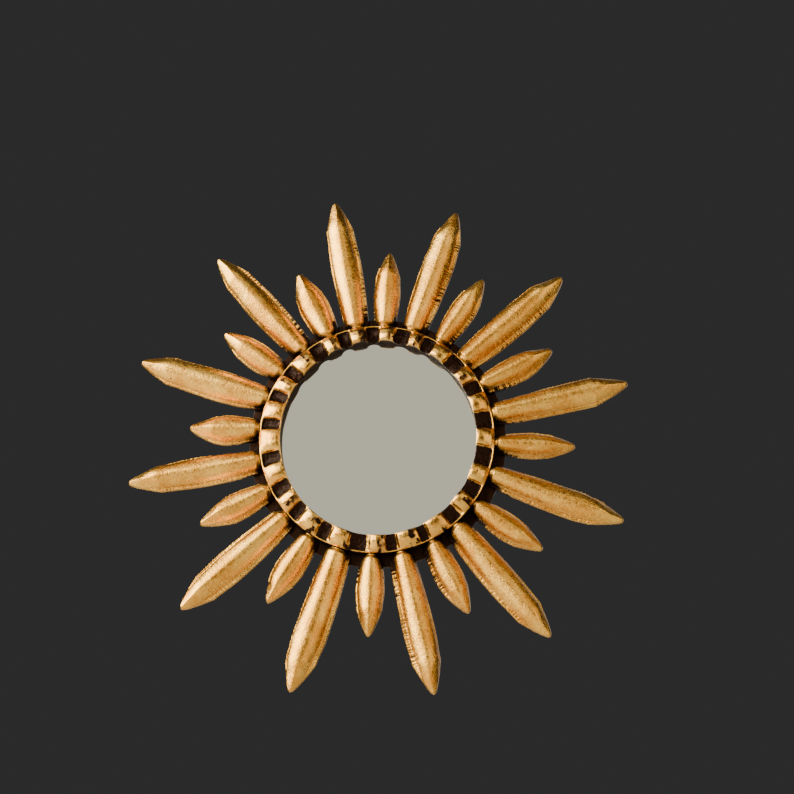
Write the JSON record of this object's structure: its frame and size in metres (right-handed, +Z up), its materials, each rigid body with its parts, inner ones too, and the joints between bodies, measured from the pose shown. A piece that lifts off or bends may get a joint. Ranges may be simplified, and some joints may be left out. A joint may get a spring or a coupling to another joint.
{
  "type": "wall mirror",
  "caption": "Sunburst wall mirror: round glass in a gouged gilded ring, with long and short carved gilded rays around it on a dark wooden backing, hung from a recess in the back.",
  "frame": {"origin": "centre of the flat back of the backing disc, on the wall plane and on the glass's axis", "axes": "+Y out of the back, into the wall; the glass faces -Y; +Z up as hung; +X to the viewer's right"},
  "size_m": [0.3544, 0.0218, 0.3617],
  "materials": {
    "gilded_ring": "gold leaf on wood, satin, with dark brown patina in the scoops",
    "gilded_ray": "gold leaf on wood, satin and pitted, dark brown at the root",
    "silvered_glass": "clear polished silvered glass",
    "stained_wood": "dark brown stain, slightly glossy"
  },
  "bodies": {
    "root": {"frame_ring": "gilded_ring", "mirror_glass": "silvered_glass", "backing_disc": "stained_wood", "long_ray_01": "gilded_ray", "long_ray_02": "gilded_ray", "long_ray_03": "gilded_ray", "long_ray_04": "gilded_ray", "long_ray_05": "gilded_ray", "long_ray_06": "gilded_ray", "long_ray_07": "gilded_ray", "long_ray_08": "gilded_ray", "long_ray_09": "gilded_ray", "long_ray_10": "gilded_ray", "long_ray_11": "gilded_ray", "long_ray_12": "gilded_ray", "short_ray_01": "gilded_ray", "short_ray_02": "gilded_ray", "short_ray_03": "gilded_ray", "short_ray_04": "gilded_ray", "short_ray_05": "gilded_ray", "short_ray_06": "gilded_ray", "short_ray_07": "gilded_ray", "short_ray_08": "gilded_ray", "short_ray_09": "gilded_ray", "short_ray_10": "gilded_ray", "short_ray_11": "gilded_ray", "short_ray_12": "gilded_ray"}
  },
  "joints": []
}
